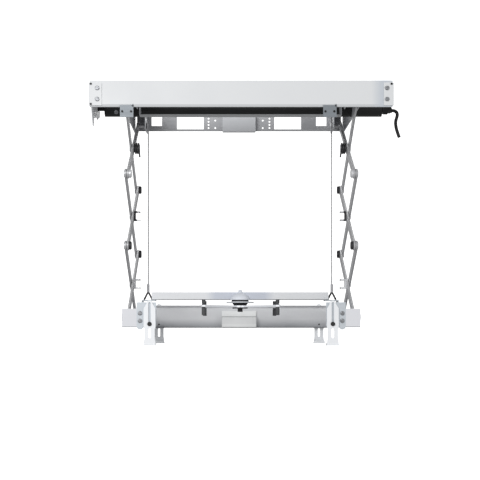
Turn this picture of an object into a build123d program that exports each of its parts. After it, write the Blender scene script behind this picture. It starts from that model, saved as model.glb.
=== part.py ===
"""Ceiling scissor lift, shown lowered: a fixed frame with a motor tube, two lifting ropes,
two three-stage scissors and a carriage with four legs and a mounting spider.

The origin is the middle of the ceiling mounting plane. +X is right, +Y is the rear, +Z is up.
Lengths are in millimetres.
"""

import os
from math import atan2, cos, degrees, hypot, pi, radians, sin, sqrt, tan

from build123d import *

# Sheet and clearances
SHEET = 2.0
RUN_GAP = 0.05
SEAT_GAP = 0.1
CUT_OVERRUN = 3.0
RIGHT_ANGLE = 90.0
FULL_TURN = 360.0

# Scissors
ARM_THICK = 3.5
ARM_WIDTH = 20.0
ARM_PLAY = 1.0
ARM_OUTER_FACE = 231.5
STAGES = 3
STAGE_DROP = 143.0
PIVOT_FRONT = -143.75
PIVOT_REAR = 143.75
PIVOT_TOP = -41.7
FOLDED_STAGE = 36.0

# Pivot pins
PIN_RADIUS = 4.0
HEAD_RADIUS = 7.0
HEAD_THICK = 1.4
SHOULDER_RADIUS = 6.0
CAP_RADIUS = 8.5
CAP_THICK = 5.5
CAP_RIM = 1.2

# Rollers in the rail slots
ROLLER_RADIUS = 6.0
ROLLER_LENGTH = 5.0
ROLLER_CLEAR = 0.3
COLLAR_RADIUS = 8.0
COLLAR_THICK = 1.6
SLOT_SPARE = 1.0

# Crossing brackets
BRACKET_HEIGHT = 20.0
BRACKET_LENGTH = 18.0
BRACKET_DEPTH = 12.8
BRACKET_WALL = 3.0

# Torsion springs on the top crossings
WIRE = 3.4
COIL_RADIUS = 10.4
COIL_PITCH = 3.9
COIL_WHOLE_TURNS = 2
MANDREL_RADIUS = 8.0
MANDREL_LENGTH = 12.2
LONG_LEG = 92.0
SHORT_LEG = 16.0

# Side rails
RAIL_INNER = 207.0
RAIL_OUTER = 236.0
RAIL_FRONT = -156.0
RAIL_REAR = 188.0
TOP_RAIL_DEPTH = 52.0
LOW_RAIL_ABOVE = 17.0
LOW_RAIL_BELOW = 20.0
NOSE_LONG = 10.0
NOSE_DEEP = 3.0
WALL_SHORT = 12.0
WALL_FRONT_LUG = -120.0
WALL_TIE_SPARE = 3.0
WALL_REAR_LUG = 108.0

# Ceiling bolt holes
BOLT_SPAN_Y = 220.0
BOLT_RADIUS = 4.5

# Front panel
PANEL_HALF = 300.0
PANEL_TOP = -2.0
PANEL_BOTTOM = -54.0
PANEL_SLANT = 5.0
PANEL_STEP = 1.2
PANEL_LIP = 4.0

# Rear panel
REAR_HALF = 231.0
REAR_BOTTOM = -46.5
BIG_WINDOW_NEAR = 80.0
BIG_WINDOW_FAR = 140.5
BIG_WINDOW_LOW = -42.0
SMALL_WINDOW_NEAR = 174.5
SMALL_WINDOW_FAR = 198.0
SMALL_WINDOW_LOW = -34.5
WINDOW_TOP = -12.0
ROW_HOLES = 4
ROW_HOLE_X = 69.0
ROW_HOLE_TOP = -17.8
ROW_HOLE_PITCH = 7.1
PAIR_HOLE_X = 53.8
PAIR_HOLE_TOP = -22.1
PAIR_HOLE_PITCH = 17.0
SMALL_HOLE = 2.0
CENTRE_BOX_HALF = 37.0
CENTRE_BOX_TOP = -14.0
CENTRE_BOX_BOTTOM = -49.7
CENTRE_BOX_DEEP = 16.0

# End brackets
FLANGE_THICK = 1.5
FLANGE_LEFT_WIDE = 24.0
FLANGE_RIGHT_WIDE = 18.0
FLANGE_TOP = -6.5
FLANGE_BOTTOM = -51.5
SIDE_REACH = 45.0
SIDE_LEFT_DROP = 42.0
SIDE_RIGHT_DROP = 24.0
POINT_Y = -84.0
POINT_Z = -79.0
POINT_HALF = 9.0
POINT_SHOULDER = 18.0
POINT_SHOULDER_Z = -60.0
LOBE_LEFT_RADIUS = 24.0
LOBE_RIGHT_RADIUS = 12.5
END_SCREW_LEFT_INSET = 15.3
END_SCREW_RIGHT_INSET = 11.4
END_SCREW_TOP = -17.4
END_SCREW_DROP = 22.0

# Panel tabs
TAB_LEFT = -226.5
TAB_RIGHT = 175.4
TAB_WIDE = 26.4
TAB_TOP = -51.0
TAB_BOTTOM = -75.0
TAB_SCREW_SPAN = 17.5
TAB_SCREW_Z = -63.6
TAB_SCREW_RADIUS = 2.2

# Small dark studs
STUD_RADIUS = 2.1
STUD_HIGH = 1.2
STUD_EDGE = 2.6
TAB_STUD_RADIUS = 1.5

# Cross tie under the tube
TIE_FRONT = -53.0
TIE_REAR = -30.0
TIE_TOP = -50.6
TIE_RIB = 3.0

# Screws
SCREW_HEAD_RADIUS = 4.4
SCREW_HEAD_HIGH = 2.2
SCREW_DOME = 1.4
SCREW_SLOT = 1.1
SCREW_SLOT_DEEP = 0.9
SCREW_SHANK = 2.0

# Winding tube and drive
TUBE_RADIUS = 18.0
TUBE_WALL = 1.5
TUBE_Z = -28.5
TUBE_LEFT_GAP = 18.0
TUBE_RIGHT_GAP = 2.0
IDLER_LENGTH = 20.0
IDLER_COLLAR = 3.0
IDLER_PIN_RADIUS = 6.0
IDLER_PIN_OUT = 4.0
BARREL_RADIUS = 14.5
BARREL_LENGTH = 412.0
SHAFT_RADIUS = 5.0
SHAFT_LENGTH = 16.0
WHEEL_LENGTH = 12.0
WHEEL_GAP = 2.0
HEAD_FLANGE_RADIUS = 13.2
HEAD_FLANGE_THICK = 8.5
MOTOR_HEAD_HALF = 10.0
MOTOR_HEAD_TOP = -16.0
MOTOR_HEAD_BOTTOM = -38.0
MOTOR_HEAD_LENGTH = 16.0
NECK_RADIUS = 8.0
GLAND_OUT = 2.0
CROWN_LENGTH = 6.0
GLAND_RADIUS = 5.0
TUBE_SCREW_INSET = 22.0
TUBE_SCREW_TURN = 36.0
TUBE_PASSAGE = 2.0

# Power cord
CORD_RADIUS = 3.5
CORD_BITE_SHARE = 0.45
CORD_ROUTE = (
    (320.0, 0.0, -33.5),
    (326.0, 0.0, -33.5),
    (331.8, 0.0, -38.6),
    (331.2, 0.0, -46.2),
    (327.8, 0.0, -55.6),
    (328.4, 0.0, -67.0),
    (331.6, 0.0, -79.0),
    (335.8, 0.0, -90.2),
)

# Lifting ropes
ROPE_RADIUS = 1.4
ROPE_X = 195.0
SPLICE_RADIUS = 2.8
SPLICE_TOP = -399.0
SPLICE_BOTTOM = -416.0
ANCHOR_WIDE = 14.0
ANCHOR_HIGH = 6.0

# Rope lugs, bar and stands
LUG_WIRE = 1.5
LUG_SPREAD = 8.5
BAR_END_GAP = 21.0
BAR_TOP = -416.6
BAR_BOTTOM = -433.0
BAR_HALF_DEEP = 5.0
BAR_WALL = 1.5
SHELF_LAP = 8.0
SHELF_FRONT = -14.0
SHELF_REAR = 28.0
STAND_DROP = 37.0

# Rear beam of the carriage
BEAM_TOP = -441.0
BEAM_BOTTOM = -492.0
BEAM_FLANGE = 12.0
BEAM_FLANGE_HALF = 195.0
BOX_HALF = 38.8
BOX_TOP = -466.0
BOX_DEEP = 17.0
BAND_TOP = -453.7
BAND_DEEP = 5.0

# Front corner brackets of the carriage
CORNER_INNER = 168.0
CORNER_TOP = -441.0
CORNER_BOTTOM = -488.5
CORNER_RETURN = 30.0
CORNER_SCREW_X = 200.2
CORNER_SCREW_HIGH = -462.7
CORNER_SCREW_LOW = -477.7

# Legs
LEG_X = 181.2
LEG_WIDE = 23.6
LEG_THICK = 2.6
LEG_TOP = -437.5
LEG_FLOOR = -527.0
LEG_SLOT_TOP = -441.0
LEG_SLOT_RADIUS = 2.3
LEG_SCREW_Z = -484.0
LEG_PLAY = 0.3
FORK_LIFT = 15.0
FORK_LONG = 19.0
FORK_GAP = 5.0
LEG_WAIST = 1.5
LEG_TIP_RADIUS = 6.0
LEG_TIP_DROP = 16.0
FOOT_DEEP = 18.0
PAD_THICK = 3.0
PAD_SPARE = 0.8

# Mounting spider
BELL_RADIUS = 21.0
BELL_TOP = -411.5
BELL_TIP = 3.5
BELL_WAIST = 9.0
BELL_WAIST_DROP = 8.0
DISC_ONE_RADIUS = 18.0
DISC_ONE_THICK = 3.4
RIM_RADIUS = 29.0
RIM_THICK = 2.4
CONE_RADIUS = 17.0
CONE_FOOT = 13.0
CONE_THICK = 5.6
SPIDER_ARM_THICK = 4.0
SPIDER_REACH = 107.0
SPIDER_ARM_WIDE = 12.0
SPIDER_SLOT_RADIUS = 3.2
SPIDER_SLOT_START = 62.0
LOW_DISC_RADIUS = 16.0
LOW_DISC_THICK = 2.4
BOLT_HEAD_RADIUS = 5.2
BOLT_HEAD_HIGH = 7.0
KNOB_RADIUS = 4.0
KNOB_WAIST = 2.9
KNOB_ABOVE = 11.0
KNOB_BELOW = 17.0
KNOB_RIB = 2.0
SPIDER_ARMS = 4

# Worked-out sizes
STAGE_SPAN = PIVOT_REAR - PIVOT_FRONT
ARM_PITCH = hypot(STAGE_SPAN, STAGE_DROP)
REST_ANGLE = degrees(atan2(STAGE_DROP, STAGE_SPAN))
FOLDED_SPAN = sqrt(ARM_PITCH**2 - FOLDED_STAGE**2)
FOLDED_REAR = PIVOT_FRONT + FOLDED_SPAN
PIVOT_BOTTOM = PIVOT_TOP - STAGES * STAGE_DROP
CROSS_Y = (PIVOT_FRONT + PIVOT_REAR) / 2
OUTER_ARM = (ARM_OUTER_FACE - ARM_THICK, ARM_OUTER_FACE)
INNER_ARM = (OUTER_ARM[0] - ARM_PLAY - ARM_THICK, OUTER_ARM[0] - ARM_PLAY)
HEAD_INNER = ARM_OUTER_FACE + SEAT_GAP
SHANK_END = INNER_ARM[0] - 2 * SEAT_GAP
ROLLER_INNER = RAIL_INNER - COLLAR_THICK
ROLLER_SPAN = (ROLLER_INNER + SEAT_GAP, ROLLER_INNER + SEAT_GAP + ROLLER_LENGTH)
LOW_RAIL_TOP = PIVOT_BOTTOM + LOW_RAIL_ABOVE
LOW_RAIL_FLOOR = PIVOT_BOTTOM - LOW_RAIL_BELOW
PANEL_BACK = RAIL_FRONT
PANEL_FACE = PANEL_BACK - SHEET
TAB_BACK = PANEL_FACE
TAB_FACE = TAB_BACK - FLANGE_THICK
FLANGE_FACE = PANEL_FACE - FLANGE_THICK
FORK_BOTTOM = LEG_FLOOR + FORK_LIFT
FORK_TOP = FORK_BOTTOM + FORK_LONG
CORNER_FACE = RAIL_FRONT - SHEET
LEG_FRONT_BACK = CORNER_FACE - LEG_PLAY
LEG_REAR_FACE = RAIL_REAR + LEG_PLAY
TUBE_LEFT = -PANEL_HALF + TUBE_LEFT_GAP
TUBE_RIGHT = PANEL_HALF - TUBE_RIGHT_GAP
TUBE_SCREW_X = TUBE_LEFT + TUBE_SCREW_INSET
BARREL_LEFT = PANEL_HALF + SHEET - BARREL_LENGTH
BAR_HALF = RAIL_INNER - BAR_END_GAP
SHELF_INNER = BAR_HALF - SHELF_LAP
END_SCREW_LEFT = END_SCREW_LEFT_INSET - PANEL_HALF
END_SCREW_RIGHT = PANEL_HALF - END_SCREW_RIGHT_INSET
SIDES = (("left", -1), ("right", 1))


def block(xs, ys, zs):
    """A straight-sided block between two limits on each axis."""
    spans = [sorted(pair) for pair in (xs, ys, zs)]
    middle = [(low + high) / 2 for low, high in spans]
    size = [high - low for low, high in spans]
    return Pos(*middle) * Box(*size)


def rod(axis, radius, limits, centre):
    """A round bar along one axis between two limits, round a centre given on the other two."""
    low, high = sorted(limits)
    bar = Cylinder(radius, high - low)
    middle = (low + high) / 2
    if axis == "x":
        return Pos(middle, *centre) * Rot(0, RIGHT_ANGLE, 0) * bar
    if axis == "y":
        return Pos(centre[0], middle, centre[1]) * Rot(RIGHT_ANGLE, 0, 0) * bar
    return Pos(*centre, middle) * bar


def slab(axis, points, limits):
    """A flat outline across one axis, drawn along that axis between two limits."""
    low, high = sorted(limits)
    place = {
        "x": lambda a, b: (low, a, b),
        "y": lambda a, b: (a, low, b),
        "z": lambda a, b: (a, b, low),
    }[axis]
    way = {"x": (1, 0, 0), "y": (0, 1, 0), "z": (0, 0, 1)}[axis]
    outline = Polyline(*[place(a, b) for a, b in points], close=True)
    return extrude(make_face(outline), amount=high - low, dir=way)


def stadium_y(width, top, bottom, x, ys):
    """A flat bar across Y with one or two rounded ends, standing along Z."""
    radius = width / 2
    bar = block((x - radius, x + radius), ys, (top - radius, bottom + radius))
    bar += rod("y", radius, ys, (x, top - radius))
    return bar + rod("y", radius, ys, (x, bottom + radius))


def both(side, pair):
    """The limits of a pair of distances from the middle, on one side."""
    return (side * pair[0], side * pair[1])


def save(name, *solids):
    """Write the solids of one named piece."""
    flat = [solid for item in solids for solid in item.solids()]
    export_step(Compound(children=flat), f"parts/{name}.step")


def pan_screw(x, z, face, way, shank):
    """A slotted pan head on a face across Y, with its shank behind; way points out of the face."""
    head = rod("y", SCREW_HEAD_RADIUS, (face, face + way * SCREW_HEAD_HIGH), (x, z))
    rim = head.edges().filter_by(GeomType.CIRCLE).sort_by(Axis.Y)
    head = fillet(rim[-1] if way > 0 else rim[0], SCREW_DOME)
    top = face + way * SCREW_HEAD_HIGH
    half = SCREW_SLOT / 2
    reach = SCREW_HEAD_RADIUS + CUT_OVERRUN
    slot = block(
        (x - reach, x + reach),
        (top - way * SCREW_SLOT_DEEP, top + way * CUT_OVERRUN),
        (z - half, z + half),
    )
    return head - slot + rod("y", SCREW_SHANK, (face, face - way * shank), (x, z))


def scissor_arm(xs, falling, stage):
    """One flat arm; a falling arm runs from its front top pivot down to its rear pivot."""
    half = ARM_PITCH / 2
    radius = ARM_WIDTH / 2
    bar = block(xs, (-half, half), (-radius, radius))
    for end in (-half, half):
        bar += rod("x", radius, xs, (end, 0))
    wide = (xs[0] - CUT_OVERRUN, xs[1] + CUT_OVERRUN)
    for place in (-half, 0, half):
        bar -= rod("x", PIN_RADIUS + RUN_GAP, wide, (place, 0))
    tilt = -REST_ANGLE if falling else REST_ANGLE
    middle = PIVOT_TOP - (stage + 1 / 2) * STAGE_DROP
    return Pos(0, CROSS_Y, middle) * Rot(tilt, 0, 0) * bar


def pivot_pin(side, y, z):
    """A headed pin through both arm planes, with a shoulder disc between the arms."""
    head = rod("x", HEAD_RADIUS, both(side, (HEAD_INNER, HEAD_INNER + HEAD_THICK)), (y, z))
    shank = rod("x", PIN_RADIUS, both(side, (SHANK_END, HEAD_INNER)), (y, z))
    disc = (INNER_ARM[1] + SEAT_GAP, OUTER_ARM[0] - SEAT_GAP)
    return head + shank + rod("x", SHOULDER_RADIUS, both(side, disc), (y, z))


def elbow_cap(side, y, z):
    """The dark cap on the inner end of an elbow pin, with a turned-down rim."""
    whole = rod("x", CAP_RADIUS, both(side, (SHANK_END - CAP_THICK, SHANK_END)), (y, z))
    ends = whole.edges().filter_by(GeomType.CIRCLE).sort_by(Axis.X)
    return chamfer(ends[0] if side > 0 else ends[-1], CAP_RIM)


def crossing_bracket(side, y, z):
    """A small channel on a crossing pin, open towards the middle of the lift."""
    half_y = BRACKET_LENGTH / 2
    half_z = BRACKET_HEIGHT / 2
    outer = both(side, (SHANK_END - BRACKET_DEPTH, SHANK_END))
    inner = both(side, (SHANK_END - BRACKET_DEPTH - CUT_OVERRUN, SHANK_END - BRACKET_WALL))
    low_y, high_y = y - half_y, y + half_y
    body = block(outer, (low_y, high_y), (z - half_z, z + half_z))
    hollow = block(
        inner,
        (low_y - CUT_OVERRUN, high_y + CUT_OVERRUN),
        (z - half_z + BRACKET_WALL, z + half_z - BRACKET_WALL),
    )
    return body - hollow


def slot_roller(side, y, z, outer):
    """A pin from an arm through the rail's slot, with collars and a loose roller between them."""
    pin = rod("x", PIN_RADIUS, both(side, (ROLLER_INNER, outer)), (y, z))
    pin += rod("x", HEAD_RADIUS, both(side, (outer, outer + HEAD_THICK)), (y, z))
    cap = (ROLLER_INNER - COLLAR_THICK, ROLLER_INNER)
    pin += rod("x", COLLAR_RADIUS, both(side, cap), (y, z))
    stop = ROLLER_SPAN[1] + SEAT_GAP
    pin += rod("x", COLLAR_RADIUS, both(side, (stop, stop + COLLAR_THICK)), (y, z))
    wheel = rod("x", ROLLER_RADIUS, both(side, ROLLER_SPAN), (y, z))
    long = (ROLLER_SPAN[0] - CUT_OVERRUN, ROLLER_SPAN[1] + CUT_OVERRUN)
    wheel -= rod("x", PIN_RADIUS + RUN_GAP, both(side, long), (y, z))
    return [pin, wheel]


def mandrel_pin(side, y, z):
    """The top crossing pin, which runs on through the spring coil and ends in a collar."""
    pin = pivot_pin(side, y, z)
    end = SHANK_END - MANDREL_LENGTH
    pin += rod("x", MANDREL_RADIUS, both(side, (end, SHANK_END)), (y, z))
    return pin


def make_scissors(side_name, side):
    """The six arms of one side and the pins that each of them carries."""
    outer = sorted(both(side, OUTER_ARM))
    inner = sorted(both(side, INNER_ARM))
    levels = [PIVOT_TOP - step * STAGE_DROP for step in range(STAGES + 1)]
    crossings = [(levels[step] + levels[step + 1]) / 2 for step in range(STAGES)]
    for stage in range(STAGES):
        save(f"falling_arm_{stage + 1}_{side_name}", scissor_arm(outer, True, stage))
        save(f"rising_arm_{stage + 1}_{side_name}", scissor_arm(inner, False, stage))
    save(
        f"falling_arm_1_pins_{side_name}",
        mandrel_pin(side, CROSS_Y, crossings[0]),
        pivot_pin(side, PIVOT_REAR, levels[1]),
        elbow_cap(side, PIVOT_REAR, levels[1]),
    )
    save(
        f"rising_arm_1_pins_{side_name}",
        *slot_roller(side, PIVOT_REAR, levels[0], INNER_ARM[1] + SEAT_GAP),
        pivot_pin(side, PIVOT_FRONT, levels[1]),
        elbow_cap(side, PIVOT_FRONT, levels[1]),
    )
    save(
        f"rising_arm_2_pins_{side_name}",
        pivot_pin(side, CROSS_Y, crossings[1]),
        crossing_bracket(side, CROSS_Y, crossings[1]),
        pivot_pin(side, PIVOT_FRONT, levels[2]),
        elbow_cap(side, PIVOT_FRONT, levels[2]),
    )
    save(
        f"falling_arm_3_pins_{side_name}",
        pivot_pin(side, CROSS_Y, crossings[2]),
        crossing_bracket(side, CROSS_Y, crossings[2]),
        *slot_roller(side, PIVOT_REAR, levels[3], HEAD_INNER),
    )
    save(
        f"rising_arm_3_pins_{side_name}",
        pivot_pin(side, PIVOT_REAR, levels[2]),
        elbow_cap(side, PIVOT_REAR, levels[2]),
    )
    save(f"torsion_spring_{side_name}", torsion_spring(side, crossings[0]))


def biarc(start, start_way, end, end_way):
    """Two tangent arcs from one point and direction to another."""
    across = end - start
    ways = start_way + end_way
    gain = 2 * (1 - start_way.dot(end_way))
    lean = across.dot(ways)
    reach = (sqrt(lean**2 + gain * across.dot(across)) - lean) / gain
    joint = (start + end + (start_way - end_way) * reach) / 2
    joint_way = (end - end_way * reach - start - start_way * reach).normalized()
    return [
        TangentArc(start, joint, tangent=start_way),
        TangentArc(joint, end, tangent=joint_way),
    ]


def torsion_spring(side, z):
    """A coil round the crossing pin, with a long leg up the rising arm and a short lower leg."""
    first = RIGHT_ANGLE + REST_ANGLE
    last = 3 * RIGHT_ANGLE - REST_ANGLE + FULL_TURN * COIL_WHOLE_TURNS
    turns = (last - first) / FULL_TURN
    outer_x = SHANK_END - SEAT_GAP - WIRE / 2
    climb = COIL_PITCH / (2 * pi * COIL_RADIUS)
    steps = round(turns * 4)

    def place(share):
        angle = radians(first + (last - first) * share)
        x = side * (outer_x - COIL_PITCH * turns * share)
        point = Vector(x, CROSS_Y + COIL_RADIUS * cos(angle), z + COIL_RADIUS * sin(angle))
        lean = 0 if share in (0, 1) else -side * climb
        way = Vector(lean, -sin(angle), cos(angle)).normalized()
        return point, way

    marks = [place(step / steps) for step in range(steps + 1)]
    path = [Line(marks[0][0] - marks[0][1] * LONG_LEG, marks[0][0])]
    for here, there in zip(marks, marks[1:]):
        path += biarc(here[0], here[1], there[0], there[1])
    path.append(Line(marks[-1][0], marks[-1][0] + marks[-1][1] * SHORT_LEG))
    wire = Wire(path)
    section = Plane(origin=wire @ 0, z_dir=wire % 0) * Circle(WIRE / 2)
    print(f"spring {side}: turns {turns:.2f}, gap between turns {COIL_PITCH - WIRE:.2f}")
    return sweep(section, path=wire)


def roller_slot(side, z):
    """The cut for a roller's travel in a rail's inner wall."""
    half = ROLLER_RADIUS + ROLLER_CLEAR
    ys = (PIVOT_REAR - SLOT_SPARE, FOLDED_REAR + SLOT_SPARE)
    xs = both(side, (RAIL_INNER - CUT_OVERRUN, RAIL_INNER + SHEET + SHEET / 2))
    cut = block(xs, ys, (z - half, z + half))
    for y in ys:
        cut += rod("x", half, xs, (y, z))
    return cut


def top_rail(side):
    """A channel open downward; its inner wall is tall only at the pivot, the tie and the slot."""
    ys = (RAIL_FRONT, RAIL_REAR)
    rail = block(both(side, (RAIL_INNER, RAIL_OUTER)), ys, (0, -TOP_RAIL_DEPTH))
    hollow = both(side, (RAIL_INNER + SHEET, RAIL_OUTER - SHEET))
    long = (RAIL_FRONT - CUT_OVERRUN, RAIL_REAR + CUT_OVERRUN)
    rail -= block(hollow, long, (-SHEET, -TOP_RAIL_DEPTH - CUT_OVERRUN))
    rail -= roller_slot(side, PIVOT_TOP)
    wide = both(side, (RAIL_INNER - CUT_OVERRUN, RAIL_OUTER + CUT_OVERRUN))
    rail -= rod("x", PIN_RADIUS + RUN_GAP, wide, (PIVOT_FRONT, PIVOT_TOP))
    rail -= rod("x", TUBE_RADIUS + TUBE_PASSAGE, wide, (0, TUBE_Z))
    nose = (RAIL_FRONT - CUT_OVERRUN, RAIL_FRONT + NOSE_LONG)
    rail -= block(wide, nose, (-NOSE_DEEP, CUT_OVERRUN))
    wall = both(side, (RAIL_INNER - CUT_OVERRUN, RAIL_INNER + SHEET + SHEET / 2))
    low = (-WALL_SHORT, -TOP_RAIL_DEPTH - CUT_OVERRUN)
    rail -= block(wall, (WALL_FRONT_LUG, TIE_FRONT - WALL_TIE_SPARE), low)
    rail -= block(wall, (TIE_REAR + WALL_TIE_SPARE, WALL_REAR_LUG), low)
    x = side * (RAIL_INNER + RAIL_OUTER) / 2
    for y in (-BOLT_SPAN_Y / 2, BOLT_SPAN_Y / 2):
        rail -= rod("z", BOLT_RADIUS, (CUT_OVERRUN, -SHEET - CUT_OVERRUN), (x, y))
    return rail


def low_rail(side):
    """A channel open upward with a closed front end, a pivot hole and the roller slot."""
    xs = both(side, (RAIL_INNER, RAIL_OUTER))
    ys = (RAIL_FRONT - SHEET, RAIL_REAR)
    rail = block(xs, ys, (LOW_RAIL_FLOOR, LOW_RAIL_TOP))
    hollow = both(side, (RAIL_INNER + SHEET, RAIL_OUTER - SHEET))
    inside = (RAIL_FRONT, RAIL_REAR + CUT_OVERRUN)
    rail -= block(hollow, inside, (LOW_RAIL_FLOOR + SHEET, LOW_RAIL_TOP + CUT_OVERRUN))
    rail -= roller_slot(side, PIVOT_BOTTOM)
    wide = both(side, (RAIL_INNER - CUT_OVERRUN, RAIL_OUTER + CUT_OVERRUN))
    return rail - rod("x", PIN_RADIUS + RUN_GAP, wide, (PIVOT_FRONT, PIVOT_BOTTOM))


def rail_pin(side, z, arm_face):
    """The fixed front pivot pin through both walls of a rail, with a sleeve up to the arm."""
    centre = (PIVOT_FRONT, z)
    pin = rod("x", PIN_RADIUS, both(side, (RAIL_INNER, RAIL_OUTER)), centre)
    head = (RAIL_OUTER, RAIL_OUTER + HEAD_THICK)
    pin += rod("x", HEAD_RADIUS, both(side, head), centre)
    sleeve = (RAIL_INNER + SHEET + SEAT_GAP, arm_face - SEAT_GAP)
    return pin + rod("x", SHOULDER_RADIUS, both(side, sleeve), centre)


def front_panel():
    """The folded front sheet: face, slanted lower strip and a short lip turned in."""
    strip = PANEL_BOTTOM + PANEL_SLANT
    points = (
        (PANEL_BACK, PANEL_TOP),
        (PANEL_FACE, PANEL_TOP),
        (PANEL_FACE, strip),
        (PANEL_FACE + PANEL_STEP, PANEL_BOTTOM),
        (PANEL_BACK + PANEL_LIP, PANEL_BOTTOM),
        (PANEL_BACK + PANEL_LIP, PANEL_BOTTOM + SHEET / 2),
        (PANEL_BACK, PANEL_BOTTOM + SHEET / 2),
    )
    return slab("x", points, (-PANEL_HALF, PANEL_HALF))


def rear_panel():
    """The rear sheet with four windows, two rows of four holes and two pairs of holes."""
    ys = (RAIL_REAR, RAIL_REAR + SHEET)
    through = (RAIL_REAR - CUT_OVERRUN, RAIL_REAR + SHEET + CUT_OVERRUN)
    sheet = block((-REAR_HALF, REAR_HALF), ys, (0, REAR_BOTTOM))
    windows = (
        (BIG_WINDOW_NEAR, BIG_WINDOW_FAR, BIG_WINDOW_LOW),
        (SMALL_WINDOW_NEAR, SMALL_WINDOW_FAR, SMALL_WINDOW_LOW),
    )
    for side in (-1, 1):
        for near, far, low in windows:
            sheet -= block(both(side, (near, far)), through, (WINDOW_TOP, low))
        for step in range(ROW_HOLES):
            z = ROW_HOLE_TOP - step * ROW_HOLE_PITCH
            sheet -= rod("y", SMALL_HOLE, through, (side * ROW_HOLE_X, z))
        for step in range(2):
            z = PAIR_HOLE_TOP - step * PAIR_HOLE_PITCH
            sheet -= rod("y", SMALL_HOLE, through, (side * PAIR_HOLE_X, z))
    return sheet


def folded_box(half, top, bottom, depth):
    """A shallow open-backed box that stands on the inner face of a rear sheet."""
    back = RAIL_REAR
    outer = block((-half, half), (back - depth, back), (top, bottom))
    wall = SHEET
    hollow = block(
        (-half + wall, half - wall),
        (back - depth + wall, back + CUT_OVERRUN),
        (top - wall, bottom + wall),
    )
    return outer - hollow


def end_bracket(side, wide, drop, lobe, hole):
    """A front flange on the panel, a side plate going back, and a lobe round the tube's axis."""
    plate = both(side, (PANEL_HALF, PANEL_HALF + SHEET))
    flange = both(side, (PANEL_HALF - wide, PANEL_HALF + SHEET))
    bracket = block(flange, (FLANGE_FACE, PANEL_FACE), (FLANGE_TOP, FLANGE_BOTTOM))
    bracket += block(plate, (FLANGE_FACE, SIDE_REACH), (FLANGE_TOP, -drop))
    bracket += block(plate, (FLANGE_FACE, PANEL_BACK), (FLANGE_TOP, FLANGE_BOTTOM))
    bracket += rod("x", lobe, plate, (0, TUBE_Z))
    if side < 0:
        point = (
            (POINT_Y - 2 * POINT_SHOULDER, -drop + SHEET),
            (POINT_Y - POINT_HALF / 2, POINT_Z),
            (POINT_Y + POINT_HALF / 2, POINT_Z),
            (POINT_Y + POINT_SHOULDER, POINT_SHOULDER_Z),
            (SIDE_REACH, -drop),
            (SIDE_REACH, -drop + SHEET),
        )
        bracket += slab("x", point, plate)
    screw_x = END_SCREW_LEFT if side < 0 else END_SCREW_RIGHT
    for step in range(2):
        centre = (screw_x, END_SCREW_TOP - step * END_SCREW_DROP)
        bracket -= rod("y", SCREW_SHANK, (FLANGE_FACE, PANEL_FACE), centre)
    through = both(side, (PANEL_HALF - CUT_OVERRUN, PANEL_HALF + SHEET + CUT_OVERRUN))
    return bracket - rod("x", hole, through, (0, TUBE_Z))


def panel_tabs():
    """Two small plates that hang at the panel's lower edge, each with two screw holes."""
    plates = []
    for x in (TAB_LEFT, TAB_RIGHT):
        xs = (x - TAB_WIDE / 2, x + TAB_WIDE / 2)
        plate = block(xs, (TAB_FACE, TAB_BACK), (TAB_TOP, TAB_BOTTOM))
        lug = block((xs[1] - SHEET, xs[1]), (TAB_FACE, TAB_BACK), (TAB_TOP, TAB_TOP + SHEET))
        plates.append(plate + lug)
    return plates


def tab_screws():
    """The dark recessed screws in the panel tabs."""
    screws = []
    for x in (TAB_LEFT, TAB_RIGHT):
        for step in (-1, 1):
            centre = (x + step * TAB_SCREW_SPAN / 2, TAB_SCREW_Z)
            ys = (TAB_FACE - SHEET / 2, TAB_FACE)
            screws.append(rod("y", TAB_SCREW_RADIUS, ys, centre))
    return screws


def corner_studs():
    """Small dark studs near three flange corners and at the upper corner of each tab."""
    studs = []
    ys = (FLANGE_FACE - STUD_HIGH, FLANGE_FACE)
    edge = PANEL_HALF - STUD_EDGE
    for x, z in (
        (-edge, FLANGE_TOP - STUD_EDGE),
        (-edge, FLANGE_BOTTOM + STUD_EDGE),
        (edge, FLANGE_TOP - STUD_EDGE),
    ):
        studs.append(rod("y", STUD_RADIUS, ys, (x, z)))
    for x in (TAB_LEFT, TAB_RIGHT):
        centre = (x + TAB_WIDE / 2 - TAB_STUD_RADIUS, TAB_TOP - TAB_STUD_RADIUS)
        studs.append(rod("y", TAB_STUD_RADIUS, (TAB_FACE - STUD_HIGH, TAB_FACE), centre))
    return studs


def frame_screws():
    """The four pan screws on the front flanges."""
    screws = []
    for x in (END_SCREW_LEFT, END_SCREW_RIGHT):
        for step in range(2):
            z = END_SCREW_TOP - step * END_SCREW_DROP
            screws.append(pan_screw(x, z, FLANGE_FACE, -1, FLANGE_THICK))
    return screws


def cross_tie():
    """The flat tie below the tube between the rails, with a rib up along its rear edge."""
    xs = (-RAIL_INNER, RAIL_INNER)
    tie = block(xs, (TIE_FRONT, TIE_REAR), (TIE_TOP, TIE_TOP - SHEET))
    return tie + block(xs, (TIE_REAR - SHEET, TIE_REAR), (TIE_TOP + TIE_RIB, TIE_TOP - SHEET))


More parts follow.
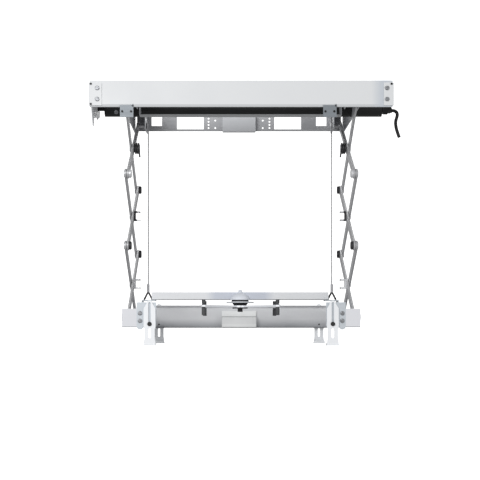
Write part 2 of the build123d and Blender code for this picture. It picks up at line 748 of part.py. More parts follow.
def make_frame():
    """Everything that is fixed to the ceiling."""
    save("front_panel", front_panel())
    save("rear_panel", rear_panel())
    box = folded_box(CENTRE_BOX_HALF, CENTRE_BOX_TOP, CENTRE_BOX_BOTTOM, CENTRE_BOX_DEEP)
    save("centre_box", box)
    save("cross_tie", cross_tie())
    left = (FLANGE_LEFT_WIDE, SIDE_LEFT_DROP, LOBE_LEFT_RADIUS, IDLER_PIN_RADIUS + RUN_GAP)
    right = (FLANGE_RIGHT_WIDE, SIDE_RIGHT_DROP, LOBE_RIGHT_RADIUS, NECK_RADIUS + RUN_GAP)
    save("end_bracket_left", end_bracket(-1, *left))
    save("end_bracket_right", end_bracket(1, *right))
    save("panel_tabs", *panel_tabs())
    pins = [rail_pin(side, PIVOT_TOP, OUTER_ARM[0]) for _, side in SIDES]
    save("frame_fasteners", *frame_screws(), *pins)
    save("dark_studs", *tab_screws(), *corner_studs())
    for name, side in SIDES:
        save(f"top_rail_{name}", top_rail(side))
    save("motor_head", motor_head())
    save("motor_barrel", motor_barrel())


def motor_head():
    """The stepped end of the motor outside the right bracket, with its cable gland."""
    face = PANEL_HALF + SHEET
    head = rod("x", HEAD_FLANGE_RADIUS, (face, face + HEAD_FLANGE_THICK), (0, TUBE_Z))
    end = face + MOTOR_HEAD_LENGTH
    sides = (-MOTOR_HEAD_HALF, MOTOR_HEAD_HALF)
    head += block((face, end), sides, (MOTOR_HEAD_TOP, MOTOR_HEAD_BOTTOM))
    start = CORD_ROUTE[0]
    gland = (end - SHEET, end + GLAND_OUT)
    return head + rod("x", GLAND_RADIUS, gland, (start[1], start[2]))


def motor_barrel():
    """The motor inside the tube, from the right bracket to its output shaft."""
    right = PANEL_HALF + SHEET
    barrel = rod("x", BARREL_RADIUS, (BARREL_LEFT, TUBE_RIGHT), (0, TUBE_Z))
    barrel += rod("x", NECK_RADIUS, (TUBE_RIGHT, right), (0, TUBE_Z))
    crown = TUBE_RADIUS - TUBE_WALL - RUN_GAP
    barrel += rod("x", crown, (TUBE_RIGHT - CROWN_LENGTH, TUBE_RIGHT), (0, TUBE_Z))
    shaft = (BARREL_LEFT - SHAFT_LENGTH, BARREL_LEFT)
    return barrel + rod("x", SHAFT_RADIUS, shaft, (0, TUBE_Z))


def tube_axis():
    """The line that the winding tube turns on."""
    return Axis((0, 0, TUBE_Z), (1, 0, 0))


def make_tube():
    """The winding tube and what turns with it."""
    centre = (0, TUBE_Z)
    bore = TUBE_RADIUS - TUBE_WALL
    tube = rod("x", TUBE_RADIUS, (TUBE_LEFT, TUBE_RIGHT), centre)
    long = (TUBE_LEFT - CUT_OVERRUN, TUBE_RIGHT + CUT_OVERRUN)
    tube -= rod("x", bore, long, centre)
    hole = rod("y", SCREW_SHANK, (-TUBE_RADIUS - CUT_OVERRUN, 0), (TUBE_SCREW_X, TUBE_Z))
    tube -= hole.rotate(tube_axis(), TUBE_SCREW_TURN)
    save("winding_tube", tube)
    plug = rod("x", bore, (TUBE_LEFT, TUBE_LEFT + IDLER_LENGTH), centre)
    plug += rod("x", TUBE_RADIUS, (TUBE_LEFT - IDLER_COLLAR, TUBE_LEFT), centre)
    out = -PANEL_HALF - SHEET - IDLER_PIN_OUT
    plug += rod("x", IDLER_PIN_RADIUS, (out, TUBE_LEFT), centre)
    save("idler_plug", plug)
    right = BARREL_LEFT - WHEEL_GAP
    wheel = rod("x", bore, (right - WHEEL_LENGTH, right), centre)
    through = (right - WHEEL_LENGTH - CUT_OVERRUN, right + CUT_OVERRUN)
    save("drive_wheel", wheel - rod("x", SHAFT_RADIUS + RUN_GAP, through, centre))
    save("rope_anchors", *rope_anchors())


def rope_anchors():
    """A clamp block on the tube above each rope, and the slotted screw near the left end."""
    solids = []
    for _, side in SIDES:
        x = side * ROPE_X
        xs = (x - ANCHOR_WIDE / 2, x + ANCHOR_WIDE / 2)
        ys = (0, TUBE_RADIUS + 2 * ROPE_RADIUS)
        z = TUBE_Z
        clamp = block(xs, ys, (z + SEAT_GAP, z + ANCHOR_HIGH))
        long = (xs[0] - CUT_OVERRUN, xs[1] + CUT_OVERRUN)
        solids.append(clamp - rod("x", TUBE_RADIUS, long, (0, z)))
    screw = pan_screw(TUBE_SCREW_X, TUBE_Z, -TUBE_RADIUS, -1, TUBE_WALL)
    return solids + [screw.rotate(tube_axis(), TUBE_SCREW_TURN)]


def make_ropes():
    """The two lifting ropes, from the rear of the tube down to their splices."""
    y = TUBE_RADIUS + ROPE_RADIUS
    for name, side in SIDES:
        rope = rod("z", ROPE_RADIUS, (TUBE_Z, SPLICE_TOP), (side * ROPE_X, y))
        save(f"lifting_rope_{name}", rope)


def rope_lugs():
    """A splice and an inverted V of thick wire at the lower end of each rope."""
    y = TUBE_RADIUS + ROPE_RADIUS
    ys = (y - LUG_WIRE, y + LUG_WIRE)
    wide = 2 * LUG_WIRE
    solids = []
    for _, side in SIDES:
        x = side * ROPE_X
        lug = rod("z", SPLICE_RADIUS, (SPLICE_TOP, SPLICE_BOTTOM), (x, y))
        outline = (
            (x - LUG_WIRE, SPLICE_BOTTOM + SHEET),
            (x + LUG_WIRE, SPLICE_BOTTOM + SHEET),
            (x + LUG_SPREAD + LUG_WIRE, BAR_BOTTOM + wide),
            (x + LUG_SPREAD + LUG_WIRE, BAR_BOTTOM),
            (x + LUG_SPREAD - LUG_WIRE, BAR_BOTTOM),
            (x, SPLICE_BOTTOM - wide),
            (x - LUG_SPREAD + LUG_WIRE, BAR_BOTTOM),
            (x - LUG_SPREAD - LUG_WIRE, BAR_BOTTOM),
            (x - LUG_SPREAD - LUG_WIRE, BAR_BOTTOM + wide),
        )
        solids.append(lug + slab("y", outline, ys))
    return solids


def bar_stand(side):
    """An angle on the rail's inner wall whose shelf carries the bar's end and the rope's lug."""
    ys = (SHELF_FRONT, SHELF_REAR)
    shelf = block(both(side, (SHELF_INNER, RAIL_INNER)), ys, (BAR_BOTTOM, BAR_BOTTOM - SHEET))
    foot = block(
        both(side, (RAIL_INNER - SHEET, RAIL_INNER)),
        ys,
        (BAR_BOTTOM, BAR_BOTTOM - STAND_DROP),
    )
    return shelf + foot


def lifting_bar():
    """The square-sided tube across the carriage on which the bell sits."""
    ys = (-BAR_HALF_DEEP, BAR_HALF_DEEP)
    bar = block((-BAR_HALF, BAR_HALF), ys, (BAR_TOP, BAR_BOTTOM))
    return bar - block(
        (-BAR_HALF - CUT_OVERRUN, BAR_HALF + CUT_OVERRUN),
        (ys[0] + BAR_WALL, ys[1] - BAR_WALL),
        (BAR_TOP - BAR_WALL, BAR_BOTTOM + BAR_WALL),
    )


def rear_beam():
    """The tall rear sheet of the carriage with flanges turned forward."""
    ys = (RAIL_REAR - SHEET, RAIL_REAR)
    beam = block((-RAIL_INNER, RAIL_INNER), ys, (BEAM_TOP, BEAM_BOTTOM))
    flange = (RAIL_REAR - BEAM_FLANGE, RAIL_REAR)
    half = (-BEAM_FLANGE_HALF, BEAM_FLANGE_HALF)
    beam += block(half, flange, (BEAM_TOP, BEAM_TOP - SHEET))
    beam += block(half, flange, (BEAM_BOTTOM, BEAM_BOTTOM + SHEET))
    through = (RAIL_REAR - SHEET - CUT_OVERRUN, RAIL_REAR + CUT_OVERRUN)
    for _, side in SIDES:
        beam -= rod("y", SCREW_SHANK, through, (side * LEG_X, LEG_SCREW_Z))
    return beam


def corner_bracket(side):
    """The front corner sheet that carries a leg, with a return along the rail's inner wall."""
    ys = (CORNER_FACE, RAIL_FRONT)
    sheet = block(both(side, (CORNER_INNER, RAIL_INNER)), ys, (CORNER_TOP, CORNER_BOTTOM))
    lobe = RAIL_INNER - CORNER_SCREW_X - SEAT_GAP
    sheet += rod("y", lobe, ys, (side * CORNER_SCREW_X, CORNER_BOTTOM))
    back = block(
        both(side, (RAIL_INNER - SHEET, RAIL_INNER)),
        (CORNER_FACE, RAIL_FRONT + CORNER_RETURN),
        (LOW_RAIL_TOP, LOW_RAIL_FLOOR),
    )
    through = (CORNER_FACE - CUT_OVERRUN, RAIL_FRONT + CUT_OVERRUN)
    for x, z in (
        (LEG_X, LEG_SCREW_Z),
        (CORNER_SCREW_X, CORNER_SCREW_HIGH),
        (CORNER_SCREW_X, CORNER_SCREW_LOW),
    ):
        sheet -= rod("y", SCREW_SHANK, through, (side * x, z))
    return sheet + back


def junction_box():
    """The pale box on the rear beam with a lighter band above it."""
    back = RAIL_REAR - SHEET
    bottom = BEAM_BOTTOM + SHEET
    box = block((-BOX_HALF, BOX_HALF), (back - BOX_DEEP, back), (BOX_TOP, bottom))
    edges = box.edges().filter_by(Axis.Z).sort_by(Axis.Y)[:2]
    box = fillet(edges, SHEET)
    band = block((-BOX_HALF, BOX_HALF), (back - BAND_DEEP, back), (BAND_TOP, BOX_TOP))
    return box + band


def carriage_screws():
    """Pan screws on the corner brackets and the clamp screws of the four legs."""
    screws = []
    for _, side in SIDES:
        for z in (CORNER_SCREW_HIGH, CORNER_SCREW_LOW):
            screws.append(pan_screw(side * CORNER_SCREW_X, z, CORNER_FACE, -1, SHEET))
        head = LEG_FRONT_BACK - LEG_THICK - LEG_PLAY
        screws.append(pan_screw(side * LEG_X, LEG_SCREW_Z, head, -1, RAIL_FRONT - head))
        head = LEG_REAR_FACE + LEG_THICK + LEG_PLAY
        screws.append(pan_screw(side * LEG_X, LEG_SCREW_Z, head, 1, head - RAIL_REAR + SHEET))
    return screws


def leg(x, face, way):
    """One slotted leg and its pad; its sheet starts at a face and thickens away from the lift."""
    ys = (face, face + way * LEG_THICK)
    half = LEG_WIDE / 2
    cut = (face - way * CUT_OVERRUN, face + way * (LEG_THICK + CUT_OVERRUN))
    tip = LEG_TIP_RADIUS
    top = LEG_TOP - LEG_TIP_DROP
    plate = block((x - half, x + half), ys, (top, FORK_TOP))
    plate += rod("y", tip, ys, (x, LEG_TOP - tip))
    taper = ((x - half, top), (x + half, top), (x + tip, LEG_TOP - tip), (x - tip, LEG_TOP - tip))
    plate += slab("y", taper, ys)
    waist = half - LEG_WAIST
    plate += block((x - waist, x + waist), ys, (FORK_TOP, FORK_BOTTOM))
    foot_top = LEG_FLOOR + PAD_THICK + LEG_THICK
    outline = (
        (x - waist, FORK_BOTTOM),
        (x + waist, FORK_BOTTOM),
        (x + half, foot_top),
        (x + half, LEG_FLOOR + PAD_THICK),
        (x - half, LEG_FLOOR + PAD_THICK),
        (x - half, foot_top),
    )
    plate += slab("y", outline, ys)
    plate -= stadium_y(2 * LEG_SLOT_RADIUS, LEG_SLOT_TOP, LEG_SCREW_Z - LEG_SLOT_RADIUS, x, cut)
    plate -= stadium_y(FORK_GAP, FORK_TOP, FORK_BOTTOM, x, cut)
    inward = (face + way * LEG_THICK, face - way * (FOOT_DEEP - LEG_THICK))
    flat = (LEG_FLOOR + PAD_THICK, foot_top)
    plate += block((x - half, x + half), inward, flat)
    spare = PAD_SPARE
    pad = block(
        (x - half - spare, x + half + spare),
        (inward[0] + way * spare, inward[1] - way * spare),
        (LEG_FLOOR, LEG_FLOOR + PAD_THICK),
    )
    return [plate, pad]


def make_carriage():
    """Everything that goes up and down on the scissors."""
    for name, side in SIDES:
        save(f"low_rail_{name}", low_rail(side))
    save("rear_beam", rear_beam())
    save("lifting_bar", lifting_bar())
    angles = [make(side) for make in (corner_bracket, bar_stand) for _, side in SIDES]
    save("carriage_brackets", *angles)
    save("rope_lugs", *rope_lugs())
    save("junction_box", junction_box())
    pins = [rail_pin(side, PIVOT_BOTTOM, INNER_ARM[0]) for _, side in SIDES]
    save("carriage_fasteners", *carriage_screws(), *pins)
    for name, side in SIDES:
        save(f"front_leg_{name}", *leg(side * LEG_X, LEG_FRONT_BACK, -1))
        save(f"rear_leg_{name}", *leg(side * LEG_X, LEG_REAR_FACE, 1))


def spider_bell():
    """The domed hub over the middle of the bar, with the bar's passage cut through it."""
    base = Vector(BELL_RADIUS, 0, BAR_BOTTOM)
    crown = Vector(0, 0, BELL_TOP)
    waist = Vector(BELL_WAIST, 0, BELL_TOP - BELL_WAIST_DROP)
    tip = Vector(BELL_TIP, 0, BELL_TOP)
    side = Line(tip, crown) + Line(crown, Vector(0, 0, BAR_BOTTOM))
    side += Line(Vector(0, 0, BAR_BOTTOM), base)
    curve = Spline(base, waist, tip, tangents=((0, 0, 1), (0, 0, 1)))
    half = make_face(Wire([*side.edges(), *curve.edges()]))
    bell = revolve(half, Axis.Z, FULL_TURN)
    return bell - block(
        (-BELL_RADIUS - CUT_OVERRUN, BELL_RADIUS + CUT_OVERRUN),
        (-BAR_HALF_DEEP, BAR_HALF_DEEP),
        (BAR_TOP, BAR_BOTTOM - CUT_OVERRUN),
    )


def spider_places():
    """The directions of the four spider arms, seen from above."""
    return [RIGHT_ANGLE / 2 + step * FULL_TURN / SPIDER_ARMS for step in range(SPIDER_ARMS)]


def make_spider():
    """The bell, and the turning stack below it with four slotted arms and their knobs."""
    save("spider_bell", spider_bell())
    middle = (0, 0)
    top = BAR_BOTTOM - LEG_PLAY
    rim = top - DISC_ONE_THICK
    cone = rim - RIM_THICK
    plate = cone - CONE_THICK
    stack = rod("z", DISC_ONE_RADIUS, (top, rim), middle)
    stack += rod("z", RIM_RADIUS, (rim, cone), middle)
    stack += Pos(0, 0, (cone + plate) / 2) * Cone(CONE_FOOT, CONE_RADIUS, CONE_THICK)
    under = plate - SPIDER_ARM_THICK
    low = under - LOW_DISC_THICK
    stack_low = rod("z", LOW_DISC_RADIUS, (under, low), middle)
    hexagon = extrude(RegularPolygon(BOLT_HEAD_RADIUS, 6), amount=BOLT_HEAD_HIGH)
    stack_low += Pos(0, 0, low - BOLT_HEAD_HIGH) * hexagon
    save("turn_discs", stack, stack_low)
    save("spider_arms", spider_arms(plate, under))
    save("spider_knobs", *spider_knobs(plate, under))


def spider_arms(plate, under):
    """A round centre with four slotted arms."""
    arms = rod("z", CONE_RADIUS, (plate, under), (0, 0))
    half = SPIDER_ARM_WIDE / 2
    cut = (plate + CUT_OVERRUN, under - CUT_OVERRUN)
    for angle in spider_places():
        arm = block((0, SPIDER_REACH), (-half, half), (plate, under))
        arm += rod("z", half, (plate, under), (SPIDER_REACH, 0))
        slot = block(
            (SPIDER_SLOT_START, SPIDER_REACH),
            (-SPIDER_SLOT_RADIUS, SPIDER_SLOT_RADIUS),
            cut,
        )
        for end in (SPIDER_SLOT_START, SPIDER_REACH):
            slot += rod("z", SPIDER_SLOT_RADIUS, cut, (end, 0))
        arms += Rot(0, 0, angle) * (arm - slot)
    return arms


def spider_knobs(plate, under):
    """Above and below each arm's end, a ribbed black nut on a common stud."""
    knobs = []
    for angle in spider_places():
        centre = (SPIDER_REACH, 0)
        stud_span = (plate + KNOB_ABOVE, under - KNOB_BELOW)
        stud = rod("z", KNOB_WAIST, stud_span, centre)
        for start, length, way in ((plate, KNOB_ABOVE, 1), (under, KNOB_BELOW, -1)):
            first = start + way * KNOB_RIB
            stud += rod("z", KNOB_RADIUS, (start, first), centre)
            far = start + way * length
            stud += rod("z", KNOB_RADIUS, (first + way * KNOB_RIB / 2, far), centre)
        knobs.append(Rot(0, 0, angle) * stud)
    return knobs


def cord_radii():
    """The bend radius at each inner point of the cord's route."""
    points = [Vector(*place) for place in CORD_ROUTE]
    radii = []
    for before, here, after in zip(points, points[1:], points[2:]):
        turn = (here - before).get_angle(after - here)
        run = min((here - before).length, (after - here).length)
        radii.append(CORD_BITE_SHARE * run / tan(radians(turn) / 2))
    return radii


def make_cord():
    """The short power cord that leaves the motor head and hangs down, cut off bare."""
    radii = cord_radii()
    print("cord radii", [round(radius, 1) for radius in radii])
    path = FilletPolyline(*CORD_ROUTE, radius=radii)
    section = Plane(origin=path @ 0, z_dir=path % 0) * Circle(CORD_RADIUS)
    cord = sweep(section, path=path)
    expected = pi * CORD_RADIUS**2 * path.length
    print(f"cord length {path.length:.1f}, volume share {cord.volume / expected:.4f}")
    save("power_cord", cord)


def main():
    """Build every piece and write it."""
    os.makedirs("parts", exist_ok=True)
    make_frame()
    make_tube()
    make_ropes()
    make_cord()
    for name, side in SIDES:
        make_scissors(name, side)
    make_carriage()
    make_spider()


main()
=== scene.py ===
"""Looks of the ceiling scissor lift: finishes on the solids, laid steel ropes and a soft power cord.

Lengths are in metres, in the same frame as the solids. Tones are linear colours.
"""

from math import cos, pi, radians, sin

import bpy
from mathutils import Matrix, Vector


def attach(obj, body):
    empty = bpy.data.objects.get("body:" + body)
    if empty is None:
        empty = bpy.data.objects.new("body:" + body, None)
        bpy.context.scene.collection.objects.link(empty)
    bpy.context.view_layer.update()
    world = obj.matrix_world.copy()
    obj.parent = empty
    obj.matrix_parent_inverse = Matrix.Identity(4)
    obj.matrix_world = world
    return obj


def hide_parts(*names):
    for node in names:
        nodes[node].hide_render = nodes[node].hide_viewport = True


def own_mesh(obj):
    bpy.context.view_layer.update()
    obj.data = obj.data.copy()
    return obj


MM = 0.001
PICTURE = 480
SENSOR = 36.0

# Camera, placed where the photograph was taken from
CAMERA_PLACE = (-34 * MM, -2540 * MM, -490 * MM)
CAMERA_TILT = 90
PIXELS_PER_METRE_AT_ONE_METRE = 1204.0
CENTRE_X_PIXEL = 224.0
CENTRE_Y_PIXEL = 327.0
VIEW_END = 60.0

# Power cord
CORD_RADIUS = 3.5 * MM
CORD_ORDER = 3
CORD_STEPS = 16
CORD_ROUND_STEPS = 6
CORD_POINTS = (
    (320.0, 0.0, -33.5),
    (326.0, 0.0, -33.5),
    (331.8, 0.0, -38.6),
    (331.2, 0.0, -46.2),
    (327.8, 0.0, -55.6),
    (328.4, 0.0, -67.0),
    (331.6, 0.0, -79.0),
    (335.8, 0.0, -90.2),
)

# Lifting ropes
ROPE_X = 195.0 * MM
ROPE_Y = 19.4 * MM
ROPE_RADIUS = 1.4 * MM
ROPE_TOP = -28.5 * MM
ROPE_BOTTOM = -399.0 * MM
ROPE_STRANDS = 6
ROPE_STRAND_RADIUS = 0.52 * MM
ROPE_STRAND_SIDES = 6
ROPE_LAY = 11.0 * MM
ROPE_STEPS_A_TURN = 10

# Where the tone of one piece changes, and how wide the change is
FAR = 9000.0 * MM
SHARP = 0.2 * MM
GRADUAL = 10.0 * MM
CAP_NEAR = 217.5 * MM
CAP_FAR = 223.3 * MM
ROLLER_NEAR = 205.2 * MM
ROLLER_FAR = 211.0 * MM
CLAMP_NEAR = 176.0 * MM
CLAMP_FAR = 187.0 * MM
# painted shade: the right end bracket is painted black behind this plane
FLANGE_BACK = -155.8 * MM
# painted shade: the front panel is painted darker below this height, on its bent lip
LIP_TOP = -49.5 * MM
# painted reflection: a faint bluish band on the front panel between these two places
REFLECTION_START = 268.0 * MM
REFLECTION_END = 298.0 * MM
LUG_START = -416.6 * MM
# painted shade: a dark line along the lifting bar's bottom, below this height
BAR_SHADE_LINE = -431.6 * MM
# painted shade: the lifting bar is darker and bluer within this distance of the middle
BAR_SHADE = 62.0 * MM
# painted shade: the rear beam darkens gradually below this height
BEAM_SHADE = -482.0 * MM
# painted shade: a dark line along the rear beam's bottom, below this height
BEAM_SHADE_LINE = -490.6 * MM
# painted shadow: a dark line along the low rails' bottom edge, below this height
RAIL_SHADE_LINE = -489.4 * MM
RIM_START = 19.0 * MM
# painted shade: the junction box's lid gap as a dark line at this height
BOX_SPLIT = -467.2 * MM
BOX_SPLIT_HALF = 0.7 * MM
# painted shade: the junction box's shallow ribs as darker lines
BOX_RIB_TOP = -471.0 * MM
BOX_RIB_PITCH = 2.6 * MM
BOX_RIB_HALF = 0.45 * MM
BOX_RIBS = 5

# Grain of the finishes: cells a metre, and how deep the fine relief is
CLOUD_SCALE = 14.0
PEEL_DEEP = 0.08 * MM
SPANGLE_SCALE = 120.0
SPANGLE_CHANCE = 0.9
SPANGLE_SHARE = 0.35
ROLL_SCALE = 10.0
ROLL_STRETCH = (3, 60, 60)
ROLL_SHARE = 0.4
ROLL_DEEP = 0.06 * MM
DRAW_SCALE = 22.0
DRAW_STRETCH = (40, 1.2, 60)
DRAW_SHARE = 0.55
DRAW_DEEP = 0.05 * MM
BAR_CLOUD_SCALE = 30.0
BAR_CLOUD_SHARE = 0.3
PLASTIC_CLOUD_SCALE = 35.0
PLASTIC_DEEP = 0.1 * MM
RING_SCALE = 260.0
RING_SHARE = 0.8
ARM_TILT = 26.445
DETAIL_PLAIN = 2.0
DETAIL_MIDDLE = 3.0
DETAIL_FINE = 4.0
DETAIL_FINEST = 5.0
NOISE_ROUGH = 0.55
DRAW_ROUGH = 0.7

# Spans that a value is taken from, and spans that it is moved to
WHOLE = (0.0, 1.0)
FALLING = (1.0, 0.0)
CLOUD_SPAN = (0.35, 0.7)
LINE_SPAN = (0.4, 0.65)
BAR_CLOUD_SPAN = (0.4, 0.75)
ROUGH_SPAN = (0.3, 0.7)
EDGE_SPAN = (0.52, 0.6)
THIN_EDGE_SPAN = (0.52, 0.58)
FLAT_SPAN = (0.3, 0.7)
PAINT_ROUGH_SPREAD = (-0.05, 0.06)
ZINC_ROUGH_SPREAD = (-0.06, 0.08)
DRAW_ROUGH_SPREAD = (-0.05, 0.12)
PLASTIC_ROUGH_SPREAD = (-0.06, 0.08)

# How much paler or darker edges are
WORN_LIFT_SHARE = 0.35
ZINC_EDGE_SHARE = 1.25
STEEL_EDGE_SHARE = 1.3
CUT_SHARE = 0.8

# Tones of the finishes, each the paler and the darker of its cloud
WHITE = ((0.61, 0.625, 0.64), (0.585, 0.60, 0.62))
STEEL = ((0.58, 0.585, 0.60), (0.38, 0.385, 0.40))
SCREW = ((0.34, 0.35, 0.37), (0.17, 0.175, 0.185))
BLACK = ((0.009, 0.0095, 0.01), (0.014, 0.015, 0.016))
TONES = {
    "white_paint": WHITE,
    "bracket_paint": WHITE,
    "motor_bracket": WHITE,
    # the rear panel's zinc: its real grey, darkened further with painted shade cast by the frame
    "shaded_frame_zinc": ((0.35, 0.355, 0.37), (0.28, 0.29, 0.305)),
    "box_zinc": ((0.46, 0.47, 0.49), (0.40, 0.41, 0.43)),
    # the cross tie's zinc: its real grey, darkened further with painted shade on its underside
    "shaded_tie_zinc": ((0.36, 0.37, 0.38), (0.28, 0.29, 0.30)),
    "rail_zinc": ((0.40, 0.41, 0.43), (0.32, 0.33, 0.35)),
    # the panel tabs' zinc, painted far darker than the other zinc: painted shade
    "shaded_tab_zinc": ((0.17, 0.187, 0.205), (0.125, 0.14, 0.155)),
    "corner_zinc": ((0.44, 0.47, 0.50), (0.34, 0.37, 0.40)),
    "rail_sheet": ((0.64, 0.65, 0.69), (0.58, 0.59, 0.63)),
    "bar_sheet": ((0.67, 0.685, 0.71), (0.62, 0.635, 0.66)),
    "bell_sheet": ((0.72, 0.75, 0.81), (0.66, 0.69, 0.75)),
    "beam_sheet": ((0.70, 0.71, 0.735), (0.64, 0.65, 0.67)),
    "leg_zinc": ((0.82, 0.84, 0.87), (0.76, 0.78, 0.81)),
    "arm_sheet": ((0.84, 0.86, 0.90), (0.76, 0.78, 0.82)),
    "tube_black": BLACK,
    "black_plastic": BLACK,
    "knob_plastic": ((0.07, 0.072, 0.075), (0.045, 0.047, 0.05)),
    "disc_plastic": ((0.012, 0.012, 0.013), (0.02, 0.02, 0.021)),
    "white_plastic": ((0.93, 0.94, 0.94), (0.90, 0.91, 0.91)),
    "cord_sheath": ((0.011, 0.011, 0.012), (0.018, 0.018, 0.019)),
    "spring_black": ((0.05, 0.05, 0.053), (0.03, 0.03, 0.032)),
    "lug_black": ((0.012, 0.012, 0.013), (0.02, 0.02, 0.022)),
    "motor_steel": ((0.02, 0.02, 0.022), (0.015, 0.015, 0.016)),
    "falling_steel": STEEL,
    "rising_steel": STEEL,
    "capped_pins": STEEL,
    "roller_pins": STEEL,
    "screw_steel": SCREW,
    "clamp_screws": SCREW,
    "rope_steel": ((0.26, 0.26, 0.27), (0.14, 0.14, 0.15)),
}

# Tones of the marks on them
# Painted shade on the front panel's bent lip
LIP_SHADE_TONE = (0.55, 0.565, 0.58)
# Painted reflection, bluish and darker, near the front panel's right end
BLUE_REFLECTION_TONE = (0.52, 0.555, 0.60)
# Painted shade on the lifting bar near its middle
BAR_SHADE_TONE = (0.54, 0.57, 0.64)
# Painted shade: the rear beam darker towards its bottom
BEAM_SHADE_TONE = (0.34, 0.35, 0.37)
# Painted shade: the dark lines along the bottoms of the lifting bar, rear beam and low rails
SHADE_LINE_TONE = (0.16, 0.165, 0.175)
# Painted shade in the junction box's lid gap and on its ribs
SPLIT_SHADE_TONE = (0.30, 0.31, 0.32)
RIB_SHADE_TONE = (0.76, 0.77, 0.78)
RIM_TONE = (0.55, 0.57, 0.60)
SPLICE_TONE = (0.42, 0.42, 0.44)
CAP_TONE = (0.02, 0.02, 0.022)
CLAMP_TONE = BLACK[0]
# Painted shade: black on the right end bracket behind its flange
BRACKET_SHADE_TONE = BLACK[1]
BLACK_PART_ROUGH = 0.5

# Sockets of the mixing node
MIX_SHARE = 0
MIX_FIRST = 6
MIX_SECOND = 7
MIX_RESULT = 2

# Room
FLOOR = -1450.0 * MM
FLOOR_HALF = 9000.0 * MM
WALL_NEAR = 2600.0 * MM
WALL_BEND = 1200.0 * MM
WALL_TOP = 5800.0 * MM
BEND_STEPS = 12
FLOOR_TONE = (0.9, 0.9, 0.9, 1.0)
FLOOR_ROUGH = 0.9
PURE_WHITE = (1.0, 1.0, 1.0, 1.0)
ROOM_LIGHT = 0.34
LIGHT_TARGET = (0.0, 0.0, -0.26)
LIGHTS = (
    ("key", (-1.2, -2.6, 0.5), 1.2, 52.0),
    ("fill", (2.0, -2.4, -0.5), 1.8, 22.0),
    ("back", (0.0, 1.8, 0.9), 1.4, 14.0),
)

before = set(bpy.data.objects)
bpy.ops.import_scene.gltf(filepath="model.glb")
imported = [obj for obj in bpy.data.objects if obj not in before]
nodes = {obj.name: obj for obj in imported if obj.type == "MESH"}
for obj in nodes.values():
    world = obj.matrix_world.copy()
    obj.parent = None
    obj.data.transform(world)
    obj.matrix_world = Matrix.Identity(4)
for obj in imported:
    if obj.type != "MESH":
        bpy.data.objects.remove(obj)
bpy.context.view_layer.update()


# Parts of a finish

def new_material(name):
    """An empty node material with its output and shader."""
    material = bpy.data.materials.new(name)
    material.use_nodes = True
    tree = material.node_tree
    tree.nodes.clear()
    output = tree.nodes.new("ShaderNodeOutputMaterial")
    shader = tree.nodes.new("ShaderNodeBsdfPrincipled")
    tree.links.new(shader.outputs["BSDF"], output.inputs["Surface"])
    return material, tree, shader


def place_on_object(tree):
    """The place on the object as a vector."""
    return tree.nodes.new("ShaderNodeTexCoord").outputs["Object"]


def mapped(tree, vector, setting, value):
    """A vector turned or stretched."""
    node = tree.nodes.new("ShaderNodeMapping")
    node.vector_type = "POINT"
    node.inputs[setting].default_value = value
    tree.links.new(vector, node.inputs["Vector"])
    return node.outputs["Vector"]


def place_vector(tree, scale=(1, 1, 1), tilt=0):
    """The place on the object, tilted about the axis from side to side and stretched."""
    turned = mapped(tree, place_on_object(tree), "Rotation", (radians(tilt), 0, 0))
    return mapped(tree, turned, "Scale", scale)


def noise(tree, vector, scale, detail=DETAIL_MIDDLE, rough=NOISE_ROUGH):
    """A noise value over a vector."""
    node = tree.nodes.new("ShaderNodeTexNoise")
    node.inputs["Scale"].default_value = scale
    node.inputs["Detail"].default_value = detail
    node.inputs["Roughness"].default_value = rough
    tree.links.new(vector, node.inputs["Vector"])
    return node.outputs["Fac"]


def between(tree, value, span, to_span=WHOLE):
    """A value moved from one span to another and held inside it."""
    node = tree.nodes.new("ShaderNodeMapRange")
    node.inputs["From Min"].default_value = span[0]
    node.inputs["From Max"].default_value = span[1]
    node.inputs["To Min"].default_value = to_span[0]
    node.inputs["To Max"].default_value = to_span[1]
    tree.links.new(value, node.inputs["Value"])
    return node.outputs["Result"]


def around(middle, spread):
    """A span on both sides of a value."""
    return middle + spread[0], middle + spread[1]


def scaled(colour, share):
    """A colour times a share, held below full white."""
    return [min(1.0, part * share) for part in colour]


def blend_colours(tree, value, first, second):
    """Two colours mixed by a value; each is a colour or another colour's output."""
    node = tree.nodes.new("ShaderNodeMix")
    node.data_type = "RGBA"
    for number, colour in ((MIX_FIRST, first), (MIX_SECOND, second)):
        if isinstance(colour, (tuple, list)):
            node.inputs[number].default_value = (*colour, 1.0)
        else:
            tree.links.new(colour, node.inputs[number])
    tree.links.new(value, node.inputs[MIX_SHARE])
    return node.outputs[MIX_RESULT]


def edge_value(tree, span=EDGE_SPAN):
    """One on worn convex edges, zero on the flats."""
    point = tree.nodes.new("ShaderNodeNewGeometry").outputs["Pointiness"]
    return between(tree, point, span)


def add_bump(tree, shader, value, strength, distance):
    """A fine surface relief from a value."""
    bump = tree.nodes.new("ShaderNodeBump")
    bump.inputs["Strength"].default_value = strength
    bump.inputs["Distance"].default_value = distance
    tree.links.new(value, bump.inputs["Height"])
    tree.links.new(bump.outputs["Normal"], shader.inputs["Normal"])


def size_of(tree, value):
    """A value without its sign."""
    node = tree.nodes.new("ShaderNodeMath")
    node.operation = "ABSOLUTE"
    tree.links.new(value, node.inputs[0])
    return node.outputs["Value"]


